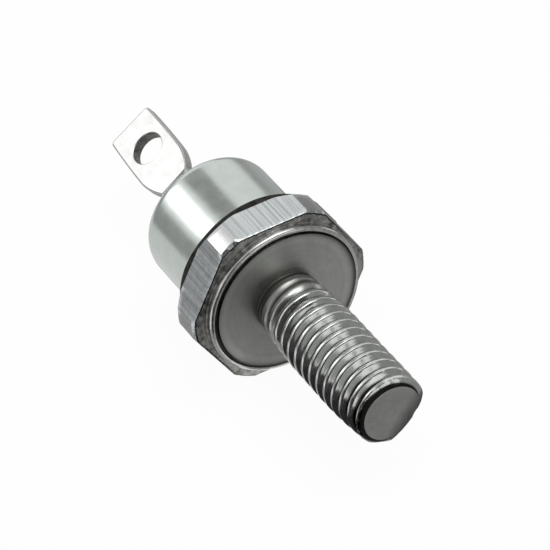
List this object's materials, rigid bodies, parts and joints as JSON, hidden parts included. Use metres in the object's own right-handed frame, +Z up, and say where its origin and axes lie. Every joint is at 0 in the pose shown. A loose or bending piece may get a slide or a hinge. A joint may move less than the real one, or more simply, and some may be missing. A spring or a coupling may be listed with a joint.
{
  "type": "stud diode",
  "caption": "Stud-mounted rectifier diode: threaded stud on a hexagonal base, welded metal can with a glass seal, and a pressed tube terminal ending in a pierced solder lug.",
  "frame": {"origin": "centre of the seating face, on the diode's axis", "axes": "+X along the axis towards the end of the stud, +Z up with the diode lying on one flat of its hexagon, so the lug points along -X"},
  "size_m": [0.0321, 0.012, 0.0108],
  "materials": {
    "plated_base": "bright nickel plate",
    "plated_can": "satin nickel plate",
    "plated_terminal": "tin plate",
    "weld_metal": "dark weld",
    "solder": "dull solder",
    "plate_metal": "ground",
    "silicon": "polished",
    "copper": "drawn wire",
    "coating": "silicone",
    "seal_glass": "fused"
  },
  "bodies": {
    "root": {"stud_base": "plated_base", "weld_ring": "weld_metal", "base_solder": "solder", "lower_plate": "plate_metal", "lower_bond": "solder", "silicon_die": "silicon", "upper_bond": "solder", "upper_plate": "plate_metal", "lead_solder": "solder", "inner_lead": "copper", "tube_solder": "solder", "junction_coating": "coating", "can": "plated_can", "glass_seal": "seal_glass", "terminal": "plated_terminal"}
  },
  "joints": []
}
